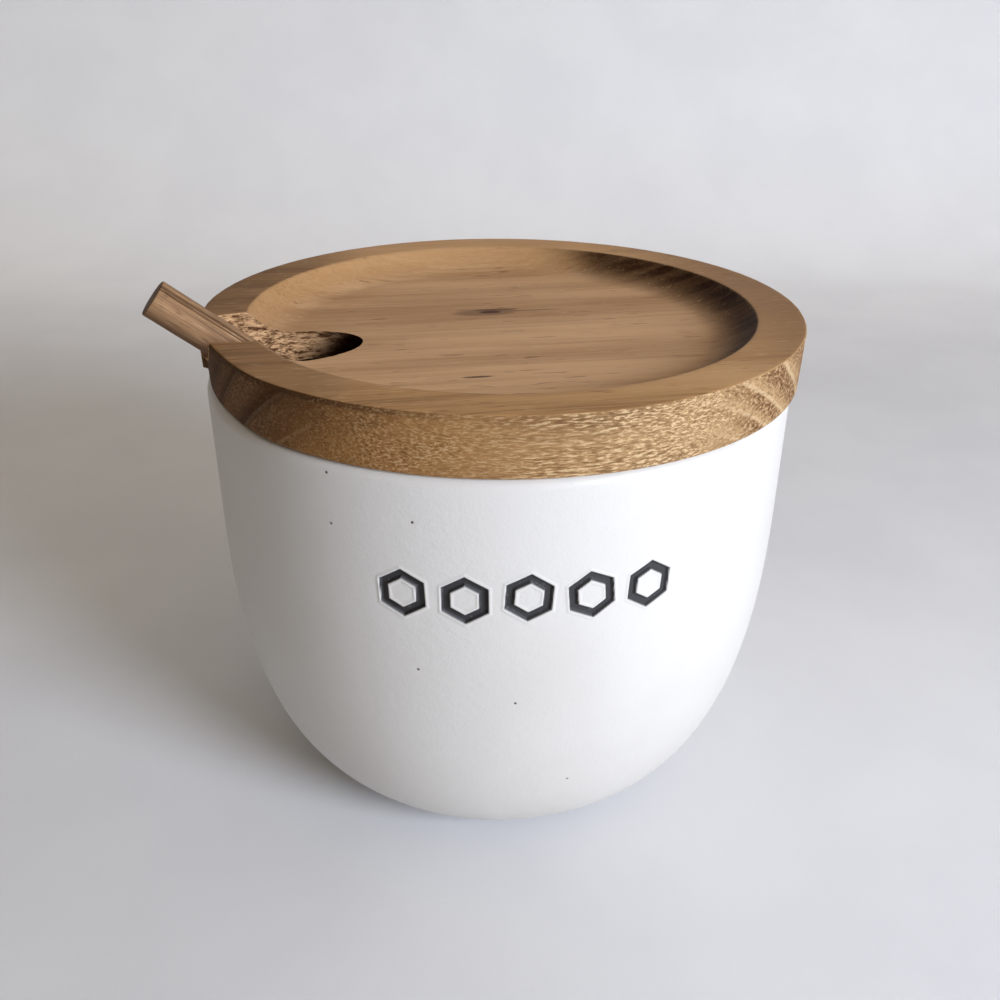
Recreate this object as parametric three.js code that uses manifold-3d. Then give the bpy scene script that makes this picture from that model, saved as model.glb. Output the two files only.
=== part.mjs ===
// Stoneware honey pot: a round glazed pot, a turned wooden lid with a dished top, and a wooden stick
// that leans in the bore drilled aslant through the lid's rim.
// Millimetres, +Z up, origin on the resting plane under the middle of the foot, front towards -Y.
import * as THREE from 'three';
import { mergeVertices } from 'three/addons/utils/BufferGeometryUtils.js';
import Module from 'manifold-3d';

// Pot: outside
const POT_HEIGHT = 88;
const POT_RADIUS = 56.4;
const FOOT_RADIUS = 24;
const SHOULDER_HEIGHT = 64;
const SIDE_STEPS = 13;
const SIDE_CROWDING = 2.4;
const RIM_ROUND = 2;
const RIM_STEPS = 3;

// Pot: inside
const WALL = 5;
const FLOOR_THICKNESS = 6;
const INNER_FOOT_RADIUS = 18;

// The side swells from the foot to the straight wall along a superellipse with these two powers.
const SIDE_RISE_POWER = 2.5;
const SIDE_SPREAD_POWER = 2.6;

// Stamped row on the front of the pot: hexagon outlines pressed into the clay
const STAMP_COUNT = 5;
const STAMP_HEIGHT = 8.6;
const STAMP_PITCH = 10.3;
const STAMP_STROKE = 1.3;
const STAMP_DEPTH = 0.6;
const STAMP_LEVEL = 66.9;
const STAMP_ROW_MIDDLE = 5.1;
// Each stamp leans and sits a little off the row, by waves that these steps run through.
const STAMP_LEAN = 5;
const STAMP_LEAN_STEP = 2.4;
const STAMP_LEAN_START = 0.6;
const STAMP_WANDER = 0.35;
const STAMP_WANDER_STEP = 4.1;

// Lid
const LID_RADIUS = 57.5;
const LID_TAPER = 0.3;
const LID_THICKNESS = 10.5;
const LID_EDGE = 0.4;
const DISH_RADIUS = 48.6;
const DISH_DEPTH = 4.7;
const COVE_RADIUS = 10;
const COVE_STEPS = 6;
// Set down by hand, the lid sits a little off the pot's middle.
const LID_SHIFT_X = 0.5;
const LID_SHIFT_Y = 0.9;

// Bore through the lid's rim: where it leaves the lid's side, and which way it runs in and down
const BORE_AZIMUTH = 199;
const BORE_HEADING = 21;
const BORE_SLOPE = 38.3;
const BORE_RADIUS = 9;
const BORE_MOUTH_DEPTH = 4.1;
const BORE_LENGTH = 120;
const BORE_SIDES = 40;

// Stick that rests in the bore
const STICK_RADIUS = 3.5;
const STICK_LENGTH = 135;
const STICK_OUTSIDE = 9.8;
const STICK_HEADING = 14.5;
const STICK_SLOPE = 38.8;
// The stick's axis crosses the lid's top level here, this much above it.
const STICK_CROSSING_X = -53;
const STICK_CROSSING_Y = -17.6;
const STICK_CROSSING_RISE = 0.4;
const STICK_EDGE = 0.3;
const STICK_SIDES = 28;

const TURNED_SIDES = 72;
const GLAZE_COLOUR = 0xdedcd8;
const GLAZE_ROUGHNESS = 0.4;
const LID_COLOUR = 0xa4815c;
const LID_ROUGHNESS = 0.6;
const STICK_COLOUR = 0x9a7753;
const STICK_ROUGHNESS = 0.65;

const wasm = await Module();
wasm.setup();

const radians = THREE.MathUtils.degToRad;
const point = (radius, height) => new THREE.Vector2(radius, height);

function solidOf(geometry) {
  const bare = geometry.clone();
  bare.deleteAttribute('normal');
  bare.deleteAttribute('uv');
  const merged = mergeVertices(bare, 1e-4);
  return new wasm.Manifold(new wasm.Mesh({
    numProp: 3,
    vertProperties: new Float32Array(merged.attributes.position.array),
    triVerts: new Uint32Array(merged.index.array),
  }));
}

function geometryOf(solid) {
  const mesh = solid.getMesh();
  const geometry = new THREE.BufferGeometry();
  geometry.setAttribute('position', new THREE.BufferAttribute(mesh.vertProperties, 3));
  geometry.setIndex(new THREE.BufferAttribute(mesh.triVerts, 1));
  geometry.computeVertexNormals();
  return geometry;
}

// A profile of (radius, height) points, turned about Z.
function turned(profile, sides) {
  const geometry = new THREE.LatheGeometry(profile, sides);
  geometry.rotateX(Math.PI / 2);
  return geometry;
}

// Unit vector that runs towards a heading in plan and falls at a slope.
function directionOf(heading, slope) {
  const across = Math.cos(radians(slope));
  return new THREE.Vector3(
    Math.cos(radians(heading)) * across,
    Math.sin(radians(heading)) * across,
    -Math.sin(radians(slope)),
  );
}

// Radius of a swelling side at a height above its own foot.
function sideRadius(height, rise, foot, belly) {
  const left = 1 - Math.min(height / rise, 1);
  const share = (1 - left ** SIDE_RISE_POWER) ** (1 / SIDE_SPREAD_POWER);
  return foot + (belly - foot) * share;
}

// Points up a side, closer together near the foot where it bends most.
function sidePoints(base, top, foot, belly) {
  const points = [];
  for (let step = 0; step <= SIDE_STEPS; step += 1) {
    const height = (top - base) * (step / SIDE_STEPS) ** SIDE_CROWDING;
    points.push(point(sideRadius(height, top - base, foot, belly), base + height));
  }
  return points;
}

function rimCorner(middleRadius, startAngle) {
  const points = [];
  for (let step = 0; step <= RIM_STEPS; step += 1) {
    const angle = radians(startAngle + 90 * step / RIM_STEPS);
    points.push(point(
      middleRadius + RIM_ROUND * Math.cos(angle),
      POT_HEIGHT - RIM_ROUND + RIM_ROUND * Math.sin(angle),
    ));
  }
  return points;
}

function potBody() {
  const innerRadius = POT_RADIUS - WALL;
  const profile = [
    point(0, 0),
    ...sidePoints(0, SHOULDER_HEIGHT, FOOT_RADIUS, POT_RADIUS),
    ...rimCorner(POT_RADIUS - RIM_ROUND, 0),
    ...rimCorner(innerRadius + RIM_ROUND, 90),
    ...sidePoints(FLOOR_THICKNESS, SHOULDER_HEIGHT, INNER_FOOT_RADIUS, innerRadius).reverse(),
    point(0, FLOOR_THICKNESS),
  ];
  return solidOf(turned(profile, TURNED_SIDES));
}

function hexagon(path, radius) {
  for (let corner = 0; corner < 6; corner += 1) {
    const angle = radians(90 + 60 * corner);
    const x = radius * Math.cos(angle);
    const y = radius * Math.sin(angle);
    if (corner === 0) {
      path.moveTo(x, y);
    } else {
      path.lineTo(x, y);
    }
  }
  path.closePath();
  return path;
}

// One stamp's tool: a hexagon outline standing across the wall, its face at the bottom of the mark.
function stampTool(index) {
  const outer = STAMP_HEIGHT / 2;
  const outline = hexagon(new THREE.Shape(), outer);
  const innerRadius = outer - STAMP_STROKE / Math.cos(radians(30));
  outline.holes.push(hexagon(new THREE.Path(), innerRadius));
  const tool = new THREE.ExtrudeGeometry(outline, { depth: WALL, bevelEnabled: false });

  const place = index - (STAMP_COUNT - 1) / 2;
  const arc = STAMP_ROW_MIDDLE + STAMP_PITCH * place;
  const lean = radians(STAMP_LEAN * Math.sin(STAMP_LEAN_STEP * index + STAMP_LEAN_START));
  const level = STAMP_LEVEL + STAMP_WANDER * Math.sin(STAMP_WANDER_STEP * index);
  tool.rotateZ(lean);
  tool.translate(0, 0, POT_RADIUS - STAMP_DEPTH);
  tool.rotateX(Math.PI / 2);
  tool.rotateZ(arc / POT_RADIUS);
  tool.translate(0, 0, level);
  return solidOf(tool);
}

function potGeometry() {
  let body = potBody();
  for (let index = 0; index < STAMP_COUNT; index += 1) {
    body = body.subtract(stampTool(index));
  }
  return geometryOf(body);
}

function lidDisc() {
  const top = POT_HEIGHT + LID_THICKNESS;
  const lowerRadius = LID_RADIUS - LID_TAPER;
  const floor = top - DISH_DEPTH;
  const coveAngle = Math.acos(1 - DISH_DEPTH / COVE_RADIUS);
  const floorRadius = DISH_RADIUS - COVE_RADIUS * Math.sin(coveAngle);
  const profile = [
    point(0, POT_HEIGHT),
    point(lowerRadius - LID_EDGE, POT_HEIGHT),
    point(lowerRadius, POT_HEIGHT + LID_EDGE),
    point(LID_RADIUS, top - LID_EDGE),
    point(LID_RADIUS - LID_EDGE, top),
  ];
  for (let step = COVE_STEPS; step >= 0; step -= 1) {
    const angle = coveAngle * step / COVE_STEPS;
    profile.push(point(
      floorRadius + COVE_RADIUS * Math.sin(angle),
      floor + COVE_RADIUS * (1 - Math.cos(angle)),
    ));
  }
  profile.push(point(0, floor));
  return solidOf(turned(profile, TURNED_SIDES));
}

// The bore's lowest line leaves the lid's side at BORE_MOUTH_DEPTH below the top.
function boreTool() {
  const inwards = directionOf(BORE_HEADING, BORE_SLOPE);
  const mouthHeight = POT_HEIGHT + LID_THICKNESS - BORE_MOUTH_DEPTH
    + BORE_RADIUS / Math.cos(radians(BORE_SLOPE));
  const mouth = new THREE.Vector3(
    LID_RADIUS * Math.cos(radians(BORE_AZIMUTH)),
    LID_RADIUS * Math.sin(radians(BORE_AZIMUTH)),
    mouthHeight,
  );
  const tool = new THREE.CylinderGeometry(BORE_RADIUS, BORE_RADIUS, BORE_LENGTH, BORE_SIDES);
  tool.applyQuaternion(new THREE.Quaternion().setFromUnitVectors(new THREE.Vector3(0, 1, 0), inwards));
  tool.translate(mouth.x, mouth.y, mouth.z);
  return solidOf(tool);
}

function lidGeometry() {
  const geometry = geometryOf(lidDisc().subtract(boreTool()));
  geometry.translate(LID_SHIFT_X, LID_SHIFT_Y, 0);
  return geometry;
}

function stickGeometry() {
  const profile = [
    point(0, 0),
    point(STICK_RADIUS - STICK_EDGE, 0),
    point(STICK_RADIUS, STICK_EDGE),
    point(STICK_RADIUS, STICK_LENGTH - STICK_EDGE),
    point(STICK_RADIUS - STICK_EDGE, STICK_LENGTH),
    point(0, STICK_LENGTH),
  ];
  return geometryOf(solidOf(turned(profile, STICK_SIDES)));
}

function piece(name, geometry, colour, roughness) {
  const material = new THREE.MeshStandardMaterial({ color: colour, roughness, metalness: 0 });
  const mesh = new THREE.Mesh(geometry, material);
  mesh.name = name;
  return mesh;
}

// The stick's outer end stands STICK_OUTSIDE beyond its crossing with the lid's top level.
function placeStick(stick) {
  const downwards = directionOf(STICK_HEADING, STICK_SLOPE);
  const crossing = new THREE.Vector3(
    STICK_CROSSING_X,
    STICK_CROSSING_Y,
    POT_HEIGHT + LID_THICKNESS + STICK_CROSSING_RISE,
  );
  stick.position.copy(crossing).addScaledVector(downwards, -STICK_OUTSIDE);
  stick.quaternion.setFromUnitVectors(new THREE.Vector3(0, 0, 1), downwards);
}

const stick = piece('stick', stickGeometry(), STICK_COLOUR, STICK_ROUGHNESS);
placeStick(stick);

const honeyPot = new THREE.Group();
honeyPot.add(
  piece('pot', potGeometry(), GLAZE_COLOUR, GLAZE_ROUGHNESS),
  piece('lid', lidGeometry(), LID_COLOUR, LID_ROUGHNESS),
  stick,
);

export default honeyPot;
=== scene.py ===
# %% [markdown]
# # A stoneware honey pot
# A thrown white pot, a turned wooden lid with a dished top, and a stick that leans in the bore drilled
# aslant through the lid's rim. The packed solids come in first as a fixed frame, in metres, so that
# every piece made here goes straight to its place with no fitting. Sizes are written in millimetres
# and multiplied by MM where Blender takes them over.

# %% Load the frame
import math

import bpy
import numpy as np
from mathutils import Matrix, Vector, noise


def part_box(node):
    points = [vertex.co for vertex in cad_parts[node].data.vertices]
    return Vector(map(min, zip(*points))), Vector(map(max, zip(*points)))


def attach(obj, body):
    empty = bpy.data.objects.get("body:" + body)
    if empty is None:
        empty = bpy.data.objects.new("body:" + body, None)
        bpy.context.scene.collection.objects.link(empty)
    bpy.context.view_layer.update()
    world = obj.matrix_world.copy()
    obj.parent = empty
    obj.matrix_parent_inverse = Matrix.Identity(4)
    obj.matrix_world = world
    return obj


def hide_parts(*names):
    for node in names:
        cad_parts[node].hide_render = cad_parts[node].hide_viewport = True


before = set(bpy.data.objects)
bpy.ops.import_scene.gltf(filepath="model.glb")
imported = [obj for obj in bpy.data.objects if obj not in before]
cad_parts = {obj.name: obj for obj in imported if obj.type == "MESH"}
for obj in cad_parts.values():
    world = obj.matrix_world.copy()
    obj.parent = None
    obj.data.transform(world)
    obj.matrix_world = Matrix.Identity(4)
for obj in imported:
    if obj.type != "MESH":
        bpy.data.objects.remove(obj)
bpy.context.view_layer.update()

MM = 0.001
print("nodes", sorted(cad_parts))

# %% [markdown]
# ## Camera
# The pot is seen from close by and a little above, so the lid's near rim looks much wider than its far
# rim. A long lens from further off would flatten that, so the camera stands at the real distance. Its
# three axes are written out from a pitch and a small roll, which is clearer than three Euler angles.

# %% Camera
CAMERA_PLACE = (0.349, -190.29, 153.19)
CAMERA_PITCH = math.radians(27.065)
CAMERA_ROLL = math.radians(0.3495)
CAMERA_LENS = 36
CAMERA_SENSOR = 36
CLIP_NEAR = 1

forward = Vector((0, math.cos(CAMERA_PITCH), -math.sin(CAMERA_PITCH)))
upright = Vector((0, math.sin(CAMERA_PITCH), math.cos(CAMERA_PITCH)))
right = Vector((1, 0, 0)) * math.cos(CAMERA_ROLL) + upright * math.sin(CAMERA_ROLL)
axes = Matrix((right, right.cross(forward), -forward)).transposed()

camera = bpy.data.objects.new("camera", bpy.data.cameras.new("camera"))
camera.matrix_world = Matrix.Translation(Vector(CAMERA_PLACE) * MM) @ axes.to_4x4()
camera.data.lens = CAMERA_LENS
camera.data.sensor_width = CAMERA_SENSOR
camera.data.clip_start = CLIP_NEAR * MM
bpy.context.scene.collection.objects.link(camera)
bpy.context.scene.camera = camera
print("camera looks along", [round(value, 3) for value in forward])

# %% [markdown]
# ## Skins turned on a wheel or a lathe
# All three pieces are round, so one helper serves them: rings of points about Z, joined by quads and
# closed on the axis at both ends. A Screw modifier would turn a profile too, but it repeats one
# profile all round. Here each ring and column has its own radius and height, so dents, pressed marks
# and set-backs are real shape and the skin stays closed.

# %% Turned skins
def turned_skin(name, radii, heights, azimuths):
    """A closed skin about Z: one row of radii and heights a ring, one column an azimuth."""
    ring_count, column_count = radii.shape
    x = radii * np.cos(azimuths)
    y = radii * np.sin(azimuths)
    rings = np.stack([x, y, heights], axis=-1).reshape(-1, 3)
    ends = [[0, 0, heights[0].mean()], [0, 0, heights[-1].mean()]]
    points = np.concatenate([rings, ends]) * MM

    here = np.arange(ring_count * column_count).reshape(ring_count, column_count)
    beside = np.roll(here, -1, axis=1)
    sides = np.stack([here[:-1], beside[:-1], beside[1:], here[1:]], axis=-1).reshape(-1, 4)
    first_end = np.full(column_count, here.size)
    last_end = first_end + 1
    first_fan = np.stack([first_end, beside[0], here[0]], axis=-1)
    last_fan = np.stack([last_end, here[-1], beside[-1]], axis=-1)

    mesh = bpy.data.meshes.new(name)
    mesh.from_pydata(points.tolist(), [], sides.tolist() + first_fan.tolist() + last_fan.tolist())
    mesh.shade_smooth()
    piece = bpy.data.objects.new(name, mesh)
    bpy.context.scene.collection.objects.link(piece)
    return piece


def wander(points, size):
    """Smooth noise from -1 to 1 at each point, with lumps about as large as size."""
    flat = points.reshape(-1, 3) / size
    values = [noise.noise(Vector(point)) for point in flat]
    return np.array(values).reshape(points.shape[:-1])


def smooth_step(low, high, values):
    share = np.clip((values - low) / (high - low), 0, 1)
    return share * share * (3 - 2 * share)


def count_triangles(piece):
    return sum(len(face.vertices) - 2 for face in piece.data.polygons)


def in_millimetres(length):
    """A length from the frame as a clean number of millimetres."""
    return round(length / MM, 2)


print("a smooth step is halfway at", smooth_step(0, 1, 0.5))

# %% [markdown]
# ## Pot: the thrown body
# The real pot is thrown on a wheel: a small foot, a side that swells quickly into a straight wall, and
# a rounded rim. Its height and radius come from the frame, and its profile is a superellipse, the same
# as in the solids. The rows are close together only where marks are pressed into the wall.

# %% Pot profile
pot_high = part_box("pot")[1]
POT_HEIGHT = in_millimetres(pot_high.z)
POT_RADIUS = in_millimetres(pot_high.x)
FOOT_RADIUS = 24
SHOULDER_HEIGHT = 64
SIDE_RISE_POWER = 2.5
SIDE_SPREAD_POWER = 2.6
RIM_ROUND = 2
WALL = 5
FLOOR_THICKNESS = 6
INNER_FOOT_RADIUS = 18
STAMPED_LOW = 60.6
STAMPED_HIGH = 73.2
FINE_STEP = 0.16
SIDE_ROWS = 34
INNER_ROWS = 20
SIDE_CROWDING = 2.2
OUTER_WALL_ROWS = 7
INNER_WALL_ROWS = 8
ROUND_STEPS = 9
# Shares of the radius at which the flat foot and the flat floor have rings
FOOT_RINGS = (0.3, 0.6, 0.85)
FLOOR_RINGS = (0.7, 0.35)


def side_radius(height, rise, foot, belly):
    left = 1 - np.clip(height / rise, 0, 1)
    return foot + (belly - foot) * (1 - left ** SIDE_RISE_POWER) ** (1 / SIDE_SPREAD_POWER)


def crowded(top, rows):
    """Heights from 0 to top, closer together near 0, where the side bends most."""
    return top * (np.arange(rows + 1) / rows) ** SIDE_CROWDING


def pot_profile():
    stamped = np.arange(STAMPED_LOW, STAMPED_HIGH - FINE_STEP / 2, FINE_STEP)
    rim_start = POT_HEIGHT - RIM_ROUND
    below_rim = np.linspace(STAMPED_HIGH, rim_start, OUTER_WALL_ROWS)[:-1]
    outer_heights = np.concatenate([crowded(STAMPED_LOW, SIDE_ROWS)[:-1], stamped, below_rim])
    outer_radii = side_radius(outer_heights, SHOULDER_HEIGHT, FOOT_RADIUS, POT_RADIUS)

    quarter = np.radians(np.linspace(0, 90, ROUND_STEPS))
    inner_radius = POT_RADIUS - WALL
    rim_radii = np.concatenate([
        POT_RADIUS - RIM_ROUND + RIM_ROUND * np.cos(quarter),
        inner_radius + RIM_ROUND - RIM_ROUND * np.sin(quarter),
    ])
    rim_heights = rim_start + RIM_ROUND * np.concatenate([np.sin(quarter), np.cos(quarter)])

    inner_rise = SHOULDER_HEIGHT - FLOOR_THICKNESS
    straight = np.linspace(rim_start, SHOULDER_HEIGHT, INNER_WALL_ROWS)[1:-1] - FLOOR_THICKNESS
    above_floor = np.concatenate([straight, crowded(inner_rise, INNER_ROWS)[::-1]])
    inner_radii = side_radius(above_floor, inner_rise, INNER_FOOT_RADIUS, inner_radius)

    foot_radii = FOOT_RADIUS * np.array(FOOT_RINGS)
    floor_radii = INNER_FOOT_RADIUS * np.array(FLOOR_RINGS)
    radii = np.concatenate([foot_radii, outer_radii, rim_radii, inner_radii, floor_radii])
    heights = np.concatenate([
        np.zeros(len(FOOT_RINGS)),
        outer_heights,
        rim_heights,
        above_floor + FLOOR_THICKNESS,
        np.full(len(FLOOR_RINGS), FLOOR_THICKNESS),
    ])
    return radii, heights, len(FOOT_RINGS) + len(outer_heights)


pot_radii, pot_heights, outer_row_count = pot_profile()
print("pot rows", len(pot_radii), "of them outside", outer_row_count)

# %% [markdown]
# ## Pot: the pressed marks
# A row of hexagon outlines is pressed into the damp clay one by one, so each leans a little its own
# way. Clay pushed out of a groove stands up beside it as a low lip, and black ink is wiped into the
# groove. A bump map would fake the depth but not its shadow or outline, so the grid itself is pushed
# in. The same distance that shapes the groove is kept on the mesh as an attribute for the ink.

# %% Pressed marks
STAMP_COUNT = 5
STAMP_HEIGHT = 8.6
STAMP_PITCH = 10.3
STAMP_STROKE = 1.3
STAMP_DEPTH = 0.6
STAMP_LEVEL = 66.9
STAMP_ROW_MIDDLE = 5.1
STAMP_LEAN = 5
STAMP_LEAN_STEP = 2.4
STAMP_LEAN_START = 0.6
STAMP_WANDER = 0.35
STAMP_WANDER_STEP = 4.1
GROOVE_FLOOR = 0.75
GROOVE_EDGE = 1.15
LIP_PLACE = 1.5
LIP_WIDTH = 0.35
LIP_HEIGHT = 0.1
INK_FULL = 1.08
INK_NONE = 1.26


def stamped_grooves(arc, height):
    """How deep the grooves go, lips counting as less than nothing, and how much ink lies in them."""
    depth = np.zeros(np.broadcast(arc, height).shape)
    ink = np.zeros_like(depth)
    half_across = STAMP_HEIGHT / 2 * math.cos(math.radians(30))
    for index in range(STAMP_COUNT):
        place = index - (STAMP_COUNT - 1) / 2
        lean = math.radians(STAMP_LEAN * math.sin(STAMP_LEAN_STEP * index + STAMP_LEAN_START))
        level = STAMP_LEVEL + STAMP_WANDER * math.sin(STAMP_WANDER_STEP * index)
        sideways = arc - STAMP_ROW_MIDDLE - STAMP_PITCH * place
        upwards = height - level
        u = np.abs(math.cos(lean) * sideways + math.sin(lean) * upwards)
        v = np.abs(math.cos(lean) * upwards - math.sin(lean) * sideways)
        hexagon = np.maximum(u, u / 2 + v * math.cos(math.radians(30)))
        stroke = np.abs(hexagon - half_across + STAMP_STROKE / 2) / (STAMP_STROKE / 2)
        depth += STAMP_DEPTH * (1 - smooth_step(GROOVE_FLOOR, GROOVE_EDGE, stroke))
        depth -= LIP_HEIGHT * np.exp(-((stroke - LIP_PLACE) / LIP_WIDTH) ** 2)
        ink += 1 - smooth_step(INK_FULL, INK_NONE, stroke)
    return depth, ink


print("marks", STAMP_COUNT, "each", STAMP_HEIGHT, "mm tall")

# %% [markdown]
# ## Pot: the skin
# A grid fine enough for the marks all round would have over a million faces, so the columns are fine
# only where the marks are. Noise makes the wall a little uneven, as a thrown wall is. It leaves the
# foot and the rim true, because they meet the table and the lid.

# %% Pot
MARK_MARGIN = 1.6
COARSE_STEP = 1.7
POT_UNEVENNESS = 0.12
POT_LUMP = 45
# Heights between which the unevenness sets in above the foot and dies out below the rim
UNEVEN_FROM = (0, 12)
UNEVEN_TO = (70, 84)
FRONT = math.radians(-90)

row_half = STAMP_PITCH * (STAMP_COUNT - 1) / 2 + STAMP_HEIGHT / 2 + MARK_MARGIN
fine_start = (STAMP_ROW_MIDDLE - row_half) / POT_RADIUS
fine_end = (STAMP_ROW_MIDDLE + row_half) / POT_RADIUS
fine_turns = np.arange(fine_start, fine_end, FINE_STEP / POT_RADIUS)
coarse_count = round((2 * math.pi - fine_end + fine_start) * POT_RADIUS / COARSE_STEP)
coarse_turns = np.linspace(fine_end, fine_start + 2 * math.pi, coarse_count, endpoint=False)
turns = np.concatenate([fine_turns, coarse_turns])
pot_azimuths = FRONT + turns

radii = np.repeat(pot_radii[:, None], len(turns), axis=1)
heights = np.repeat(pot_heights[:, None], len(turns), axis=1)
around = np.stack([radii * np.cos(pot_azimuths), radii * np.sin(pot_azimuths), heights], axis=-1)
free_of_ends = smooth_step(*UNEVEN_FROM, heights) * (1 - smooth_step(*UNEVEN_TO, heights))
radii += POT_UNEVENNESS * wander(around, POT_LUMP) * free_of_ends

arc = (turns - 2 * math.pi * (turns > math.pi)) * POT_RADIUS
groove_depth, groove_ink = stamped_grooves(arc[None, :], heights)
outside = np.arange(len(pot_radii))[:, None] < outer_row_count
radii -= np.where(outside, groove_depth, 0)

pot = turned_skin("stoneware_pot", radii, heights, pot_azimuths)
ink_values = np.append(np.where(outside, groove_ink, 0).ravel(), [0, 0])
ink_layer = pot.data.attributes.new("ink", "FLOAT", "POINT")
ink_layer.data.foreach_set("value", ink_values.astype(np.float32))
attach(pot, "root")
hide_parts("pot")
print("pot triangles", count_triangles(pot), "deepest groove", round(float(groove_depth.max()), 2))

# %% [markdown]
# ## Lid: the turned profile
# The lid is a thick disc turned from one board: a flat rim, a dish with a coved wall, and crisp edges
# that are only just broken with sandpaper. A Bevel modifier would break all of them alike. Written out
# row by row, each edge keeps its own small rounding.

# %% Lid profile
lid_low, lid_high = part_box("lid")
LID_RADIUS = in_millimetres((lid_high.y - lid_low.y) / 2)
LID_TOP = in_millimetres(lid_high.z)
LID_THICKNESS = LID_TOP - POT_HEIGHT
LID_TAPER = 0.3
LID_EDGE = 0.4
DISH_RADIUS = 48.6
DISH_DEPTH = 4.7
DISH_EDGE = 0.3
# Shares of that edge by which its middle ring lies out and down
DISH_EDGE_MIDDLE = (0.4, 0.12)
COVE_RADIUS = 10
UNDER_ROWS = 8
UNDER_INNER_RADIUS = 8
EDGE_STEPS = 5
BAND_ROWS = 30
RIM_ROWS = 8
COVE_ROWS = 20
FLOOR_ROWS = 17
FLOOR_INNER_RADIUS = 4


def lid_profile():
    lower_radius = LID_RADIUS - LID_TAPER
    floor = LID_TOP - DISH_DEPTH
    cove_angle = math.acos(1 - DISH_DEPTH / COVE_RADIUS)
    floor_radius = DISH_RADIUS - COVE_RADIUS * math.sin(cove_angle)
    corner = np.radians(np.linspace(0, 90, EDGE_STEPS))
    bottom_radius = lower_radius - LID_EDGE
    top_radius = LID_RADIUS - LID_EDGE
    rim_end = DISH_RADIUS + DISH_EDGE
    band_heights = np.linspace(POT_HEIGHT + LID_EDGE, LID_TOP - LID_EDGE, BAND_ROWS)
    band_share = (band_heights - POT_HEIGHT) / LID_THICKNESS
    cove = np.linspace(cove_angle, 0, COVE_ROWS)[1:]
    edge_out, edge_down = [share * DISH_EDGE for share in DISH_EDGE_MIDDLE]
    under = np.linspace(UNDER_INNER_RADIUS, bottom_radius, UNDER_ROWS + 1)[:-1]
    rows = [
        (under, np.full(UNDER_ROWS, POT_HEIGHT)),
        (bottom_radius + LID_EDGE * np.sin(corner), POT_HEIGHT + LID_EDGE * (1 - np.cos(corner))),
        (lower_radius + LID_TAPER * band_share[1:-1], band_heights[1:-1]),
        (top_radius + LID_EDGE * np.cos(corner), LID_TOP - LID_EDGE + LID_EDGE * np.sin(corner)),
        (np.linspace(top_radius, rim_end, RIM_ROWS + 1)[1:], np.full(RIM_ROWS, LID_TOP)),
        (np.array([DISH_RADIUS + edge_out]), np.array([LID_TOP - edge_down])),
        (floor_radius + COVE_RADIUS * np.sin(cove), floor + COVE_RADIUS * (1 - np.cos(cove))),
        (np.linspace(floor_radius, FLOOR_INNER_RADIUS, FLOOR_ROWS + 1)[1:], np.full(FLOOR_ROWS, floor)),
    ]
    radii = np.concatenate([row[0] for row in rows])
    heights = np.concatenate([row[1] for row in rows])
    return radii, heights


lid_radii, lid_heights = lid_profile()
print("lid rows", len(lid_radii))

# %% [markdown]
# ## Lid: the disc
# On the left the band is sanded back a little, and a burr of wood is left standing under the bore's
# mouth. The top edge is slightly uneven all round. One profile can't hold any of these, so they are
# written into the grid of radii before the skin is made.

# %% Lid disc
LID_COLUMNS = 320
SET_BACK = 0.85
# Azimuths in degrees: the middle of the set-back, its reach to either side, and the burr's two ends
SET_BACK_MIDDLE = 204
SET_BACK_SPREAD = 26
BURR_AZIMUTHS = (186, 198.5)
BURR_HEIGHTS = (91.2, 95)
# Shares of its reach between which the set-back fades
SET_BACK_FADE = (0.3, 1)
EDGE_NICKS = 0.07
NICK_SIZE = 1.6
# How many edge roundings off the band, or off the top edge, a point may lie and still belong to it
BAND_REACH = 1.5
EDGE_REACH = 1.2

lid_azimuths = np.linspace(0, 2 * math.pi, LID_COLUMNS, endpoint=False)
radii = np.repeat(lid_radii[:, None], LID_COLUMNS, axis=1)
heights = np.repeat(lid_heights[:, None], LID_COLUMNS, axis=1)
around = np.stack([radii * np.cos(lid_azimuths), radii * np.sin(lid_azimuths), heights], axis=-1)

on_band = radii > LID_RADIUS - LID_TAPER - BAND_REACH * LID_EDGE
lid_degrees = np.degrees(lid_azimuths)
from_middle = np.abs(lid_degrees - SET_BACK_MIDDLE) / SET_BACK_SPREAD
set_back = SET_BACK * (1 - smooth_step(*SET_BACK_FADE, from_middle))
beside_burr = (lid_degrees < BURR_AZIMUTHS[0]) | (lid_degrees > BURR_AZIMUTHS[1])
above_or_below = (heights < BURR_HEIGHTS[0]) | (heights > BURR_HEIGHTS[1])
radii -= np.where(on_band & (beside_burr | above_or_below), set_back, 0)
edge_reach = EDGE_REACH * LID_EDGE
at_edge = (radii > LID_RADIUS - edge_reach) & (heights > LID_TOP - edge_reach)
radii += np.where(at_edge, EDGE_NICKS * wander(around, NICK_SIZE), 0)

lid = turned_skin("wooden_lid", radii, heights, lid_azimuths)
print("lid disc triangles", count_triangles(lid))

# %% [markdown]
# ## Lid: the bore
# A bit driven in aslant tears the wood fibres where it cuts across them, so the bore's wall is ragged
# near its mouth and cleaner further in. It could be modelled by hand around the hole. A Boolean with a
# ragged cutter is simpler and gives the true oval where the bore meets the rim, the cove and the
# floor. The modifier is applied, so the lid is one plain mesh afterwards.

# %% Lid bore
BORE_AZIMUTH = math.radians(199)
BORE_HEADING = math.radians(21)
BORE_SLOPE = math.radians(38.3)
BORE_RADIUS = 9
BORE_MOUTH_DEPTH = 4.1
BORE_START = -25
BORE_END = 48
BORE_ROWS = 170
BORE_COLUMNS = 144
TORN_SIZES = (3.2, 1.3, 0.7)
TORN_DEPTHS = (0.15, 0.2, 0.14)
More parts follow.
